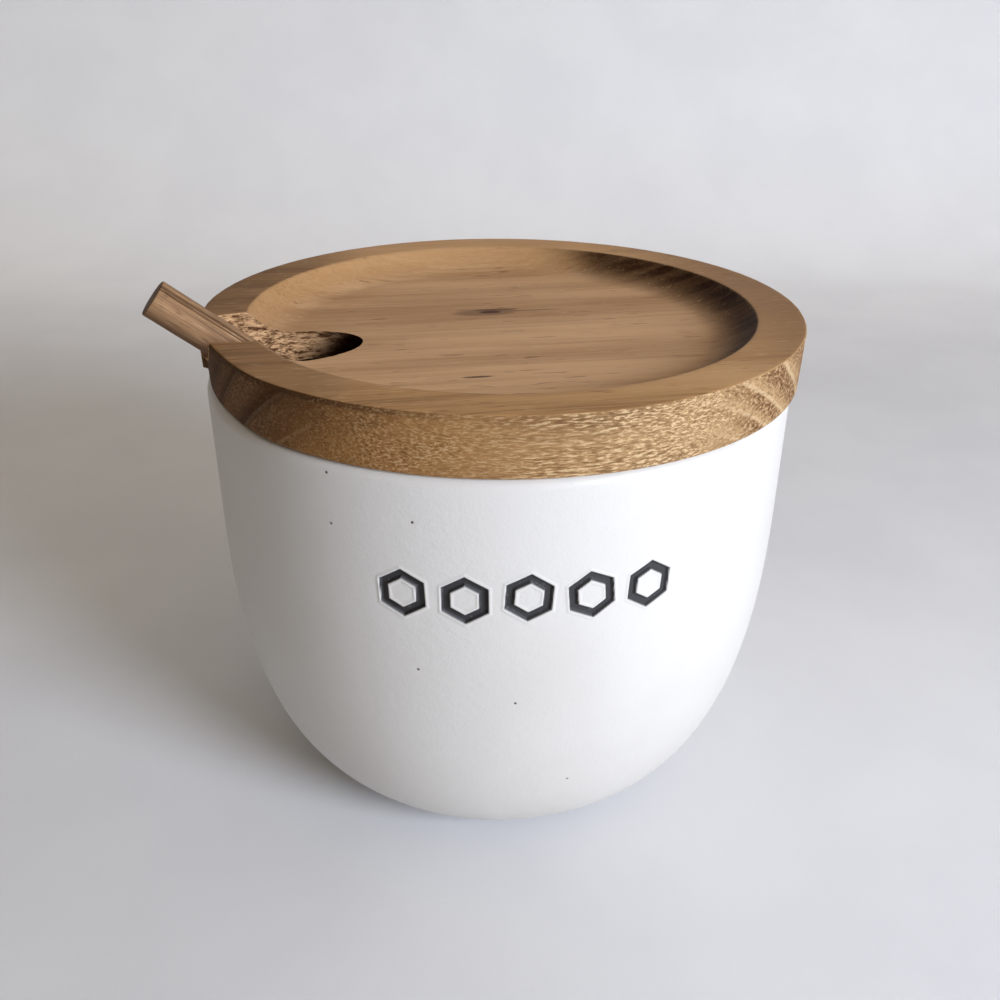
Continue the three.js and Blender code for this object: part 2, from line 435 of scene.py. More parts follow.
# How far down the bore the tearing dies out, and the share of it that is left
TORN_END = (10, 23)
TORN_LEFT = 0.2
lid_middle = (lid_low + lid_high) / 2
LID_SHIFT = Vector((in_millimetres(lid_middle.x), in_millimetres(lid_middle.y), 0))
SHARP_ANGLE = math.radians(48)


def falling(heading, slope):
    """Unit vector that runs towards a heading in plan and falls at a slope."""
    return Vector((
        math.cos(heading) * math.cos(slope),
        math.sin(heading) * math.cos(slope),
        -math.sin(slope),
    ))


def along_axis(start, direction):
    """Matrix that carries Z onto a direction and the origin onto a start point in millimetres."""
    turn = Vector((0, 0, 1)).rotation_difference(direction)
    return Matrix.Translation(start * MM) @ turn.to_matrix().to_4x4()


bore_direction = falling(BORE_HEADING, BORE_SLOPE)
bore_mouth = Vector((
    LID_RADIUS * math.cos(BORE_AZIMUTH),
    LID_RADIUS * math.sin(BORE_AZIMUTH),
    LID_TOP - BORE_MOUTH_DEPTH + BORE_RADIUS / math.cos(BORE_SLOPE),
))
bore_azimuths = np.linspace(0, 2 * math.pi, BORE_COLUMNS, endpoint=False)
bore_heights = np.repeat(np.linspace(BORE_START, BORE_END, BORE_ROWS)[:, None], BORE_COLUMNS, axis=1)
bore_radii = np.full(bore_heights.shape, float(BORE_RADIUS))
around = np.stack([
    bore_radii * np.cos(bore_azimuths), bore_radii * np.sin(bore_azimuths), bore_heights,
], axis=-1)
raggedness = 1 - (1 - TORN_LEFT) * smooth_step(*TORN_END, bore_heights)
for size, depth in zip(TORN_SIZES, TORN_DEPTHS):
    bore_radii += depth * raggedness * wander(around, size)
bore = turned_skin("bore_cutter", bore_radii, bore_heights, bore_azimuths)
bore.matrix_world = along_axis(bore_mouth, bore_direction)

cut = lid.modifiers.new("bore", "BOOLEAN")
cut.operation = "DIFFERENCE"
cut.solver = "MANIFOLD"
cut.object = bore
bpy.context.view_layer.update()
drilled = bpy.data.meshes.new_from_object(lid.evaluated_get(bpy.context.evaluated_depsgraph_get()))
lid.modifiers.clear()
lid.data = drilled
bpy.data.objects.remove(bore)
lid.data.transform(Matrix.Translation(LID_SHIFT * MM))
lid.data.shade_smooth()
lid.data.set_sharp_from_angle(angle=SHARP_ANGLE)
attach(lid, "root")
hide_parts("lid")
print("drilled lid triangles", count_triangles(lid))

# %% [markdown]
# ## Stick
# A plain dowel leans in the bore and reaches down into the pot. It is turned upright about its own Z
# axis and then laid along its slope by the object's matrix, so the wood's grain, which follows the
# object's own coordinates, runs along the stick.

# %% Stick
STICK_RADIUS = 3.5
STICK_LENGTH = 135
STICK_OUTSIDE = 9.8
STICK_HEADING = math.radians(14.5)
STICK_SLOPE = math.radians(38.8)
STICK_CROSSING = Vector((-53, -17.6, LID_TOP + 0.4))
STICK_EDGE = 0.3
STICK_COLUMNS = 64
STICK_ROWS = 60
STICK_UNEVENNESS = 0.06
STICK_LUMP = 9

corner = np.radians(np.linspace(0, 90, EDGE_STEPS))
length_rows = np.linspace(STICK_EDGE, STICK_LENGTH - STICK_EDGE, STICK_ROWS)
stick_radii = np.concatenate([
    [STICK_RADIUS / 2],
    STICK_RADIUS - STICK_EDGE + STICK_EDGE * np.sin(corner[:-1]),
    np.full(STICK_ROWS, STICK_RADIUS),
    STICK_RADIUS - STICK_EDGE + STICK_EDGE * np.cos(corner[1:]),
    [STICK_RADIUS / 2],
])
stick_heights = np.concatenate([
    [0],
    STICK_EDGE * (1 - np.cos(corner[:-1])),
    length_rows,
    STICK_LENGTH - STICK_EDGE + STICK_EDGE * np.sin(corner[1:]),
    [STICK_LENGTH],
])
stick_azimuths = np.linspace(0, 2 * math.pi, STICK_COLUMNS, endpoint=False)
radii = np.repeat(stick_radii[:, None], STICK_COLUMNS, axis=1)
heights = np.repeat(stick_heights[:, None], STICK_COLUMNS, axis=1)
around = np.stack([radii * np.cos(stick_azimuths), radii * np.sin(stick_azimuths), heights], axis=-1)
radii -= STICK_UNEVENNESS * (0.5 + 0.5 * wander(around, STICK_LUMP))

stick = turned_skin("wooden_stick", radii, heights, stick_azimuths)
stick_direction = falling(STICK_HEADING, STICK_SLOPE)
stick_start = STICK_CROSSING - stick_direction * STICK_OUTSIDE
stick.matrix_world = along_axis(stick_start, stick_direction)
stick.data.set_sharp_from_angle(angle=SHARP_ANGLE)
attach(stick, "root")
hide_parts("stick")
print("stick triangles", count_triangles(stick))

# %% [markdown]
# ## Writing shaders as sums
# A finish is easier to read as arithmetic than as a picture of nodes. A Wire stands for one socket, and
# adding or multiplying wires makes the Math nodes. Plain numbers are worked out by Python itself.
# Colours and vectors have methods of their own, because a Math node would turn a colour grey. Places
# are in millimetres, so a noise of scale 0.5 has lumps about 2 mm across.

# %% Wires
class Wire:
    def __init__(self, tree, socket):
        self.tree = tree
        self.socket = socket

    def node(self, kind, settings, sockets, out=0):
        """Any node: its settings first, then its sockets, each a value or a wire."""
        made = self.tree.nodes.new(kind)
        for name, value in settings.items():
            setattr(made, name, value)
        for key, value in sockets.items():
            if isinstance(value, Wire):
                self.tree.links.new(value.socket, made.inputs[key])
            else:
                made.inputs[key].default_value = value
        return Wire(self.tree, made.outputs[out])

    def math(self, operation, first, second=0.0):
        return self.node("ShaderNodeMath", {"operation": operation}, {0: first, 1: second})

    def __add__(self, other):
        return self.math("ADD", self, other)

    def __radd__(self, other):
        return self.math("ADD", other, self)

    def __sub__(self, other):
        return self.math("SUBTRACT", self, other)

    def __rsub__(self, other):
        return self.math("SUBTRACT", other, self)

    def __mul__(self, other):
        return self.math("MULTIPLY", self, other)

    def __rmul__(self, other):
        return self.math("MULTIPLY", other, self)

    def __truediv__(self, other):
        return self.math("DIVIDE", self, other)

    def __rtruediv__(self, other):
        return self.math("DIVIDE", other, self)

    def __abs__(self):
        return self.math("ABSOLUTE", self)

    def at_most(self, other):
        return self.math("MINIMUM", self, other)

    def at_least(self, other):
        return self.math("MAXIMUM", self, other)

    def squared(self):
        return self.math("MULTIPLY", self, self)

    def fraction(self):
        return self.math("FRACT", self)

    def step(self, low, high):
        """Smoothly from 0 at low to 1 at high; low may be the larger."""
        if low > high:
            return 1 - self.step(high, low)
        sockets = {"Value": self, "From Min": low, "From Max": high}
        return self.node("ShaderNodeMapRange", {"interpolation_type": "SMOOTHSTEP"}, sockets)

    def vector(self, operation, other, out=0):
        return self.node("ShaderNodeVectorMath", {"operation": operation}, {0: self, 1: other}, out)

    def dot(self, direction):
        return self.vector("DOT_PRODUCT", tuple(direction), "Value")

    def scaled(self, share):
        return self.node("ShaderNodeVectorMath", {"operation": "SCALE"}, {0: self, "Scale": share})

    def joined(self, second, third):
        return self.node("ShaderNodeCombineXYZ", {}, {0: self, 1: second, 2: third})

    def noise(self, scale, detail=2.0, roughness=0.5):
        sockets = {"Vector": self, "Scale": scale, "Detail": detail, "Roughness": roughness}
        return self.node("ShaderNodeTexNoise", {}, sockets)

    def mixed(self, first, second):
        """This wire as the share of the second colour laid over the first."""
        under, over = [
            value if isinstance(value, Wire) else (*value, 1.0)
            for value in (first, second)
        ]
        sockets = {0: self, 6: under, 7: over}
        return self.node("ShaderNodeMix", {"data_type": "RGBA"}, sockets, 2)


def new_finish(name, piece):
    """A material on a piece: its shader, and the place in millimetres as a wire."""
    material = bpy.data.materials.new(name)
    material.use_nodes = True
    piece.data.materials.clear()
    piece.data.materials.append(material)
    tree = material.node_tree
    shader = tree.nodes["Principled BSDF"]
    coordinates = tree.nodes.new("ShaderNodeTexCoord")
    place = Wire(tree, coordinates.outputs["Object"]).scaled(1 / MM)
    return shader, place


def feed(shader, **wires):
    for name, wire in wires.items():
        socket = shader.inputs[name.replace("_", " ").title()]
        wire.tree.links.new(wire.socket, socket)


def bumped(height, depth, strength):
    """A normal from a height wire; depth is in millimetres."""
    sockets = {"Strength": strength, "Distance": depth * MM, "Height": height}
    return height.node("ShaderNodeBump", {}, sockets)


print("wires know", len([name for name in vars(Wire) if callable(getattr(Wire, name))]), "operations")

# %% [markdown]
# ## Glaze
# The glaze is a satin white, a touch warmer where it lies thin, with a fine orange-peel surface and a
# few dark pinholes where gas broke through in the kiln. The ink in the pressed marks is a flat black.
# Pinholes come one by one from their places, because noise would sprinkle them evenly.

# %% Glaze
GLAZE_WHITE = (0.705, 0.677, 0.63)
GLAZE_THIN = (0.63, 0.595, 0.54)
INK_BLACK = (0.036, 0.034, 0.035)
PINHOLE_BROWN = (0.09, 0.07, 0.055)
PINHOLE_RADIUS = 0.26
GLAZE_ROUGHNESS = 0.34
GLAZE_SPECULAR = 0.45
PEEL_DEPTH = 0.25
PEEL_STRENGTH = 0.25
# Noise values between which the glaze turns thin, freckles set in and ink is whole
CLOUDS = (0.4, 0.75)
FRECKLES = (0.6, 0.8)
WHOLE_INK = (0.24, 0.36)
CLOUD_SHARE = 0.5
FRECKLE_SHARE = 0.12
INK_WEAR = 0.15
# Azimuth in degrees and height in millimetres
PINHOLES = ((-118.3, 86), (-118.2, 77), (-103.5, 80), (-103.5, 52.1), (-86.8, 46), (-75.7, 24.7))

glaze, place = new_finish("satin_glaze", pot)
cloud = place.noise(0.03, 3)
freckle = place.noise(0.9, 2)
thin = cloud.step(*CLOUDS) * CLOUD_SHARE + freckle.step(*FRECKLES) * FRECKLE_SHARE
ink = place.node("ShaderNodeAttribute", {"attribute_name": "ink"}, {}, "Fac")
whole = place.noise(1.8, 3).step(*WHOLE_INK)
ink = (ink * (1 - INK_WEAR + INK_WEAR * whole)).at_most(1)
pinholes = 0
hole_edge, hole_core = 1.3 * PINHOLE_RADIUS, 0.5 * PINHOLE_RADIUS
for azimuth, height in PINHOLES:
    turn = math.radians(azimuth)
    out = float(side_radius(np.float64(height), SHOULDER_HEIGHT, FOOT_RADIUS, POT_RADIUS))
    middle = (out * math.cos(turn), out * math.sin(turn), height)
    distance = place.vector("DISTANCE", middle, "Value")
    pinholes = distance.step(hole_edge, hole_core) + pinholes
colour = thin.mixed(GLAZE_WHITE, GLAZE_THIN)
colour = pinholes.at_most(1).mixed(colour, PINHOLE_BROWN)
colour = ink.mixed(colour, INK_BLACK)
peel = place.noise(0.55, 3) * 0.7 + place.noise(2.2, 2) * 0.3 - pinholes * 1.5
feed(
    glaze,
    base_color=colour,
    roughness=GLAZE_ROUGHNESS + 0.1 * cloud + 0.25 * ink,
    normal=bumped(peel, PEEL_DEPTH, PEEL_STRENGTH),
)
glaze.inputs["Specular IOR Level"].default_value = GLAZE_SPECULAR
print("glaze nodes", len(place.tree.nodes))

# %% [markdown]
# ## Wood of the lid
# The board's growth layers are almost flat sheets that stand aslant, so they draw streaks along the top
# and slanting lines on the band. Its vessels run along the grain: long dashes on the top, short
# flecks where the band cuts them, dots where it cuts them square. Both are solid textures, in
# coordinates turned to the grain and stretched along it, so streaks run over the edges as in a real
# board. How squarely a face cuts the grain comes from its normal.

# %% Wood grain
LAYER_NORMAL = Vector((-0.118, 0.667, 0.736)).normalized()
GRAIN = Vector((0.985, 0.174, 0)).normalized()
THIRD = GRAIN.cross(LAYER_NORMAL)


def grain_places(place):
    """Along the grain, through the layers, and across both."""
    return place.dot(GRAIN), place.dot(LAYER_NORMAL), place.dot(THIRD)


def stretched(along, layer, third, stretch):
    """The place with lengths along the grain drawn together, so that noise on it is drawn out."""
    return (along / stretch).joined(layer, third)


print("grain runs along", [round(value, 2) for value in GRAIN])

# %% [markdown]
# The rim, the band, the cove and the dish each take the light and the knife in their own way, so each
# has its own colour. They could be separate materials, with a seam at every edge. Here a face is told
# by its tilt and its distance from the middle, so that streaks run from one into the next. The cove
# cuts the grain square at its right end, and the open end grain there is dark. That dark is partly the
# end grain and partly painted shade, because the right cove lies in shade, and it reaches onto the dish
# floor as the rim's painted shadow.

# %% Lid wood: streaks and parts of the lid
TOP_DARK = (0.375, 0.203, 0.09)
TOP_LIGHT = (0.63, 0.392, 0.21)
RIM_BROWN = (0.5, 0.262, 0.075)
RIM_STREAK = (0.2, 0.1, 0.04)
BAND_BROWN = (0.32, 0.155, 0.05)
BAND_TAN = (0.41, 0.256, 0.122)
COVE_TAN = (0.43, 0.245, 0.1)
# The dark end grain of the right cove, with painted shade over it
COVE_END_GRAIN_AND_SHADE = (0.035, 0.0115, 0.003)
RIM_SHARE = 0.4
RIM_STREAK_SHARE = 0.6
COVE_SHARE = 0.6
# How level a face of the rim is at least, and a face of the cove at most, as a cosine
RIM_LEVEL = (0.6, 0.95)
COVE_LEVEL = (0.985, 0.8)
# Places along the grain where the band turns tan and where the cove's dark end grain and painted shade
# set in
BAND_TURN = (-38, 28)
DARK_END_AND_SHADE = (14, 34)
# Distance from the middle over which that dark end grain and painted shade climb the cove from the dish
# floor
SHADE_AND_END_GRAIN_CLIMB = (39, 47.5)

lid_wood, place = new_finish("oiled_lid_wood", lid)
along, layer, third = grain_places(place)
face = place.node("ShaderNodeNewGeometry", {}, {}, "Normal")
level = face.dot((0, 0, 1))
upward = level.step(*RIM_LEVEL)
in_plan = place.vector("SUBTRACT", tuple(LID_SHIFT)).vector("MULTIPLY", (1, 1, 0))
plan_radius = in_plan.vector("LENGTH", (0, 0, 0), "Value")
outside_dish = plan_radius.step(DISH_RADIUS - 0.1, DISH_RADIUS + 0.5)
rim = outside_dish * upward
band = outside_dish * (1 - upward)
cove = (1 - outside_dish) * level.step(*COVE_LEVEL)

# From broad to fine: how the layers bend, clouds, streaks and lines
bend = stretched(along, layer, third, 3).noise(0.05, 2) - 0.5
cloud = stretched(along, layer + 3 * bend, third, 5).noise(0.07, 2) - 0.5
streak = stretched(along, layer + 4 * bend, third, 22).noise(0.22, 3, 0.6) - 0.5
line = stretched(along, layer + 2 * bend, third, 45).noise(1.2, 3, 0.65) - 0.5
tone = 0.5 + 1.2 * cloud + 0.95 * streak + 0.75 * line + 0.003 * along

colour = tone.step(0.0, 1.0).mixed(TOP_DARK, TOP_LIGHT)
colour = (rim * RIM_SHARE).mixed(colour, RIM_BROWN)
colour = (rim * tone.step(0.52, 0.12) * RIM_STREAK_SHARE).mixed(colour, RIM_STREAK)
colour = band.mixed(colour, along.step(*BAND_TURN).mixed(BAND_BROWN, BAND_TAN))
colour = (cove * COVE_SHARE).mixed(colour, COVE_TAN)
# Painted shade: the right cove and the dish floor beside it, in the rim's shadow, are darkened together
# with the real dark end grain there
end_grain_and_shade = (along + 30 * cloud).step(*DARK_END_AND_SHADE)
shade_and_grain_towards_edge = plan_radius.step(*SHADE_AND_END_GRAIN_CLIMB) * (1 - outside_dish)
strokes = layer.joined(along * 0.15, 0).noise(0.5, 2, 0.6)
stroke_share = (0.62 + 0.62 * strokes).at_most(1)
colour = (shade_and_grain_towards_edge * end_grain_and_shade * stroke_share).mixed(colour, COVE_END_GRAIN_AND_SHADE)
print("lid wood nodes so far", len(place.tree.nodes))

# %% [markdown]
# Each growth ring begins with a pale line, then a zone of wide vessels, then closes up. Where the band
# cuts across the grain, at the left and right, the rings show as slanting stripes, fainter towards the
# back. The heartwood at the left is dark. A painted shadow darkens a thin line under the rim's edge
# there. A Wave texture would make even stripes. Here the place within a ring is the fraction left over
# from dividing by the ring's thickness, so that each part of a ring can be named, and a slow noise makes
# some rings wider than others.

# %% Lid wood: rings and heartwood at the ends
RING_START = 47
RING_THICKNESS = 5.3
RING_DRIFT = 3.0
RING_LIGHT = (0.56, 0.4, 0.235)
HEART_BROWN = (0.062, 0.022, 0.006)
END_BROWN = (0.22, 0.115, 0.05)
# The colour of the painted shadow line under the rim's edge
EDGE_SHADOW_BROWN = (0.07, 0.03, 0.011)
# How squarely a face cuts the grain at the right and at the left, as a cosine
CUT_RIGHT = (0.35, 0.65)
CUT_LEFT = (-0.6, -0.85)
# Shares of a ring where its pale line ends, and where its porous zone begins and ends
PALE_END = (0.17, 0.08)
POROUS_START = (0.1, 0.2)
POROUS_END = (0.95, 0.5)
POROUS_SHARE = 0.9
PALE_SHARE = 0.65
# Layers between which the rings grow faint and between which the heartwood begins
FAINT_LAYERS = (50, 58)
HEART_LAYERS = (35, 46)
FAINT_SHARE = 0.65
# Places along the grain: the rim's brown right end, the heartwood, and the painted shadow line
RIGHT_END = (28, 56)
HEART_END = (-20, -38)
EDGE_SHADOW_END = (-6, -36)
RIGHT_SHARE = 0.75
EDGE_SHADOW_SHARE = 0.75
# Depths under the rim's edge between which the painted shadow line fades
EDGE_SHADOW_DEPTHS = (1.4, 0.7)

squarely = face.dot(GRAIN)
cut_right = squarely.step(*CUT_RIGHT)
cut_left = squarely.step(*CUT_LEFT)
cut_across = (cut_right + cut_left) * (band + cove).at_most(1)
drift = layer.joined(0, 0).noise(0.055, 1) - 0.5
in_ring = ((RING_START - layer + 1.5 * bend) / RING_THICKNESS + RING_DRIFT * drift).fraction()
clear_ring = 1 - FAINT_SHARE * layer.step(*FAINT_LAYERS)
pale_line = in_ring.step(*PALE_END) * clear_ring
porous = in_ring.step(*POROUS_START) * in_ring.step(*POROUS_END) * clear_ring

colour = (along.step(*RIGHT_END) * rim * RIGHT_SHARE).mixed(colour, END_BROWN)
heart = along.step(*HEART_END) * layer.step(*HEART_LAYERS) * outside_dish * (0.96 - 0.5 * upward)
colour = heart.mixed(colour, HEART_BROWN)
colour = (porous * cut_across * band * POROUS_SHARE).mixed(colour, END_BROWN)
colour = (pale_line * cut_across * band * (PALE_SHARE - 0.5 * heart)).mixed(colour, RING_LIGHT)
# Painted shadow: a dark line under the rim's edge, on the left of the band
depth = LID_TOP - place.dot((0, 0, 1))
painted_shadow_under_edge = depth.step(*EDGE_SHADOW_DEPTHS) * band * along.step(*EDGE_SHADOW_END)
colour = (painted_shadow_under_edge * EDGE_SHADOW_SHARE).mixed(colour, EDGE_SHADOW_BROWN)
print("lid wood nodes so far", len(place.tree.nodes))

# %% [markdown]
# The vessels are fine tubes along the grain. On the band they are cut open as pale and dark flecks, long
# where the band runs with the grain and short where it cuts across. The pale flecks are partly painted
# glints, and there are more of them towards the lit right side. On the top they are sparse dark dashes,
# with a few pale painted glints. A Voronoi texture would space them evenly. Noise drawn out along the
# grain crowds them and leaves gaps, as wood does.

# %% Lid wood: vessels
FLECK_PALE_AND_GLINT = (0.68, 0.48, 0.265)
FLECK_DARK = (0.1, 0.046, 0.017)
PORE_SHARE = 0.42
GLINT_SHARE = 0.3
STREAK_SHARE = 0.5
# Noise values between which a pale fleck or painted glint, a dark fleck, a pore or a painted glint on
# the top sets in
PALE_AND_GLINT_FLECKS = (0.52, 0.61)
DARK_FLECKS = (0.47, 0.37)
PORES = (0.67, 0.76)
GLINTS = (0.64, 0.74)
# Places along the grain between which the pale flecks and painted glints grow towards the lit right side
LIT_FROM = (-34, 18)

side_fleck = stretched(along, layer + bend, third, 6).noise(3.2, 2, 0.6)
end_fleck = stretched(along, layer, third, 4).noise(2.0, 2, 0.6)
fleck = side_fleck + cut_across * (end_fleck - side_fleck)
pore = stretched(along, layer, third, 8).noise(1.5, 1, 0.4)
glint = stretched(along, layer, third, 7).noise(2.1, 1, 0.4)
patchy = stretched(along, layer, third, 3).noise(0.13, 1).step(0.36, 0.56)
crowd = patchy * (1 - cut_across) + porous * cut_across
open_grain = band * (0.5 + 0.5 * crowd) + cove * (0.15 + 0.5 * cut_across * porous)
dark_streak = tone.step(0.55, 0.05) * band
dark_pores = (pore.step(*PORES) * PORE_SHARE * upward).at_least(STREAK_SHARE * dark_streak)
# Painted glints: pale dashes on the top, and on the band pale flecks that are partly real vessels and
# partly painted glints, more of them towards the lit right side
light_glints = glint.step(*GLINTS) * GLINT_SHARE * upward
lit_share = (0.35 + 0.55 * along.step(*LIT_FROM)) * (1 - 0.6 * cove)
lit_share = lit_share * (1 - 0.5 * cut_right) * (1 - 0.7 * heart)
light_flecks = fleck.step(*PALE_AND_GLINT_FLECKS) * open_grain * lit_share
dark_flecks = fleck.step(*DARK_FLECKS) * open_grain * (0.55 + 0.4 * cut_across)
colour = dark_pores.mixed(colour, FLECK_DARK)
colour = light_glints.mixed(colour, FLECK_PALE_AND_GLINT)
colour = light_flecks.mixed(colour, FLECK_PALE_AND_GLINT)
colour = dark_flecks.mixed(colour, FLECK_DARK)
print("lid wood nodes so far", len(place.tree.nodes))

# %% [markdown]
# A small knot lies in the dish: a brown eye drawn out along the grain, a near-black core and a thin
# tail. Three short dark checks lie nearby. Noise can't be told where to put them, so each is an ellipse
# about its own middle, with the grain's lines added to its edge.

# %% Lid wood: knot and checks
KNOT_BROWN = (0.17, 0.09, 0.05)
KNOT_CORE = (0.085, 0.03, 0.018)
ACROSS_TOP = Vector((-GRAIN.y, GRAIN.x, 0))
across = place.dot(ACROSS_TOP)


def mark_on_top(x, y, half_length, half_width):
    """1 in the middle of an ellipse that lies along the grain on the lid's top, 0 outside it."""
    middle = Vector((x, y, 0))
    lengthwise = (along - middle.dot(GRAIN)) / half_length
    crosswise = (across - middle.dot(ACROSS_TOP)) / half_width + 0.8 * line
    return (lengthwise.squared() + crosswise.squared()).step(1.1, 0.35) * upward


# Middle in plan, half length, half width, share of the colour laid over, and the colour
MARKS = (
    (-2.9, 10.9, 7.6, 2.7, 0.65, KNOT_BROWN),
    (-0.6, 12.9, 5.5, 0.8, 0.6, KNOT_CORE),
    (-1.9, 11.2, 2.6, 1.1, 0.97, KNOT_CORE),
    (6.5, 12.9, 7.5, 0.5, 0.6, KNOT_BROWN),
    (-3.6, -27.6, 3.1, 0.5, 0.85, KNOT_CORE),
    (-24.1, 5.8, 2.0, 0.45, 0.45, KNOT_CORE),
    (-8.5, -16.3, 2.6, 0.45, 0.35, KNOT_CORE),
)
for x, y, half_length, half_width, share, mark_colour in MARKS:
    colour = (mark_on_top(x, y, half_length, half_width) * share).mixed(colour, mark_colour)
print("knot and checks", len(MARKS))

# %% [markdown]
# In the bore the fibres are torn out, so its wall is paler, with dark pits. Deep in the bore the wall
# is painted nearly black as shade. The distance from the bore's axis tells which faces belong to it,
# whatever the Boolean made of the mesh there.

# %% Lid wood: torn bore, and the finish
TORN_LIGHT = (0.66, 0.4, 0.205)
TORN_DARK = (0.1, 0.042, 0.015)
BORE_STAIN = (0.022, 0.008, 0.005)
TORN_REACH = 0.4
STAIN_START = 24
STAIN_END = 32
STAIN_SHARE = 0.95
LID_ROUGHNESS = 0.56
LID_SPECULAR = 0.06
LID_RELIEF = 0.35
LID_RELIEF_STRENGTH = 0.6

from_mouth = place.vector("SUBTRACT", tuple(bore_mouth + LID_SHIFT))
across_axis = from_mouth.vector("CROSS_PRODUCT", tuple(bore_direction))
from_axis = across_axis.vector("LENGTH", (0, 0, 0), "Value")
near_bore = from_axis.step(BORE_RADIUS + TORN_REACH + 0.15, BORE_RADIUS + TORN_REACH - 0.1)
torn = near_bore * level.step(0.97, 0.9)
wisp = stretched(along, layer, third, 5).noise(1.4, 2, 0.6)
fibre = 0.7 * wisp + 0.3 * stretched(along, layer, third, 3).noise(4, 1)
torn_colour = fibre.step(0.38, 0.62).mixed(TORN_DARK, TORN_LIGHT)
# Painted shade: the wall deep in the bore is darkened nearly to black
stain = from_mouth.dot(bore_direction).step(STAIN_START, STAIN_END) * STAIN_SHARE
torn_colour = stain.mixed(torn_colour, BORE_STAIN)
colour = torn.mixed(colour, torn_colour)

relief = line * 0.4 + fleck * open_grain - dark_pores * 0.8 + fibre * torn
feed(
    lid_wood,
    base_color=colour,
    roughness=LID_ROUGHNESS + 0.2 * streak + 0.15 * open_grain,
    normal=bumped(relief, LID_RELIEF, LID_RELIEF_STRENGTH),
)
lid_wood.inputs["Specular IOR Level"].default_value = LID_SPECULAR
print("lid wood nodes", len(place.tree.nodes))

# %% [markdown]
# ## Wood of the stick
# The stick is split from the same kind of wood, with its grain along its own Z axis. The same ideas
# serve it with fewer colours: fine lines along the stick, a few dark ones among them, one side painted
# darker as shade, and end grain that is darkened partly as painted shade.

# %% Wood of the stick
STICK_DARK = (0.16, 0.085, 0.04)
STICK_LIGHT = (0.46, 0.27, 0.135)
STICK_LINE = (0.07, 0.033, 0.014)
STICK_GLINT = (0.5, 0.33, 0.2)
# Azimuth about the stick's axis in degrees, and half width in millimetres
SEAMS = ((-136, 0.3), (-124, 0.16))
# Noise values between which a glint, a dark line or a dark dash sets in
STICK_GLINTS = (0.42, 0.3)
DARK_LINES = (0.6, 0.68)
DARK_DASHES = (0.62, 0.7)
STICK_GLINT_SHARE = 0.5
DARK_LINE_SHARE = 0.6
DARK_DASH_SHARE = 0.5
# Places across the stick between which the painted shade on one side sets in
DARK_SIDE = (-0.5, 2.6)
DARK_SIDE_SHARE = 0.6
SEAM_SHARE = 0.75
STICK_END_SHARE = 0.6
STICK_ROUGHNESS = 0.58
STICK_SPECULAR = 0.15
STICK_RELIEF = 0.2
STICK_RELIEF_STRENGTH = 0.5

stick_wood, place = new_finish("oiled_stick_wood", stick)
x, y, z = place.dot((1, 0, 0)), place.dot((0, 1, 0)), place.dot((0, 0, 1))
soft = (z / 30).joined(x, y).noise(0.45, 2)
line = (z / 25).joined(x, y).noise(1.6, 3, 0.6)
dash = (z / 9).joined(x, y).noise(2.6, 2, 0.5)
tone = (soft - 0.5) * 1.2 + (line - 0.5) * 1.4 + 0.5
colour = tone.step(0.0, 1.0).mixed(STICK_DARK, STICK_LIGHT)
colour = (dash.step(*STICK_GLINTS) * STICK_GLINT_SHARE).mixed(colour, STICK_GLINT)
# Painted shade: one side of the stick is darkened
colour = (x.step(*DARK_SIDE) * DARK_SIDE_SHARE).mixed(colour, STICK_DARK)
dark_lines = line.step(*DARK_LINES) * DARK_LINE_SHARE + dash.step(*DARK_DASHES) * DARK_DASH_SHARE
for azimuth, half_width in SEAMS:
    turn = math.radians(azimuth)
    sideways = abs(y * math.cos(turn) - x * math.sin(turn) + 0.6 * (line - 0.5))
    facing = (x * math.cos(turn) + y * math.sin(turn)).step(0, 1)
    dark_lines = dark_lines + SEAM_SHARE * facing * sideways.step(half_width * 1.4, half_width * 0.5)
colour = dark_lines.at_most(1).mixed(colour, STICK_LINE)
# The end faces are darkened, partly as dark end grain and partly as painted shade
end_face = abs(place.node("ShaderNodeTexCoord", {}, {}, "Normal").dot((0, 0, 1))).step(0.5, 0.9)
colour = (end_face * STICK_END_SHARE).mixed(colour, STICK_LINE)
feed(
    stick_wood,
    base_color=colour,
    roughness=STICK_ROUGHNESS + 0.1 * soft,
    normal=bumped(line - dark_lines, STICK_RELIEF, STICK_RELIEF_STRENGTH),
)
stick_wood.inputs["Specular IOR Level"].default_value = STICK_SPECULAR
print("stick wood nodes", len(place.tree.nodes))

# %% [markdown]
# ## Sweep
# The pot stands on a plain pale sheet that curves up behind it. The sheet is wide, so that its edges
# stay far off from every side, and its back glows a little, as if a lamp of its own lit it.

# %% Sweep
SWEEP_HALF_WIDTH = 6000
SWEEP_FRONT = -6000
SWEEP_BACK = 470
SWEEP_BEND = 90
SWEEP_HEIGHT = 1200
SWEEP_DROP = 0.05
SWEEP_WHITE = (0.77, 0.77, 0.77)
SWEEP_GREY = (0.73, 0.73, 0.735)
SWEEP_STEPS = 17
SWEEP_ROUGHNESS = 0.8
SWEEP_SPECULAR = 0.2
BACK_GLOW = (0.15, 0.15, 0.15)
GLOW_START = 200

